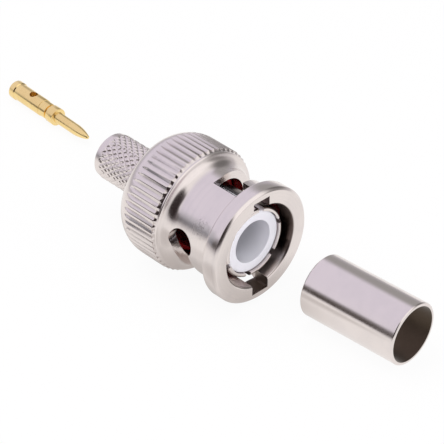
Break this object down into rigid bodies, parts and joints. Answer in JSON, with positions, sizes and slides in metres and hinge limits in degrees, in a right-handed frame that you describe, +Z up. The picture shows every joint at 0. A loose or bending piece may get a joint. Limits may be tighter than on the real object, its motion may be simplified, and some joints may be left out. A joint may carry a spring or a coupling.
{
  "type": "bnc connector",
  "caption": "Crimp plug of the bayonet coaxial kind with a knurled coupling nut, laid out with its loose contact pin and crimp ferrule.",
  "frame": {"origin": "centre of the mouth of the insulator's mating bore, on the plug's axis", "axes": "+X out of the plug's front along its axis, +Z up from the surface that the kit lies on"},
  "size_m": [0.0681, 0.0154, 0.0148],
  "materials": {
    "nickel_nut": "bright nickel plate on brass",
    "nickel_contact": "bright nickel plate on brass",
    "nickel_body": "nickel plate on brass, diamond knurled stem",
    "nickel_ferrule": "satin nickel plate on annealed brass",
    "spring_steel": "plain spring steel",
    "spring_bronze": "phosphor bronze strip",
    "gold_plate": "gold plate on brass",
    "white_insulator": "milky fluoropolymer",
    "red_silicone": "soft matte silicone"
  },
  "bodies": {
    "plug_body": {"outer_contact": "nickel_contact", "crimp_body": "nickel_body", "insulator": "white_insulator", "gasket": "red_silicone", "wave_washer_front": "spring_bronze", "wave_washer_rear": "spring_bronze", "contact_pin": "gold_plate", "crimp_ferrule": "nickel_ferrule"},
    "spring_carrier": {"thrust_washer": "spring_steel"},
    "nut": {"coupling_nut": "nickel_nut", "retaining_ring": "spring_steel"}
  },
  "joints": [
    {"name": "coupling_travel", "type": "slide", "parent": "plug_body", "child": "spring_carrier", "axis": [1, 0, 0], "range_m": [0, 0.0008], "stiffness_N_per_m": 12000, "springref_m": -0.0002, "deforming": ["wave_washer_front", "wave_washer_rear"]},
    {"name": "coupling_turn", "type": "hinge", "parent": "spring_carrier", "child": "nut", "pos_m": [0, 0, 0], "axis": [1, 0, 0], "continuous": true}
  ]
}
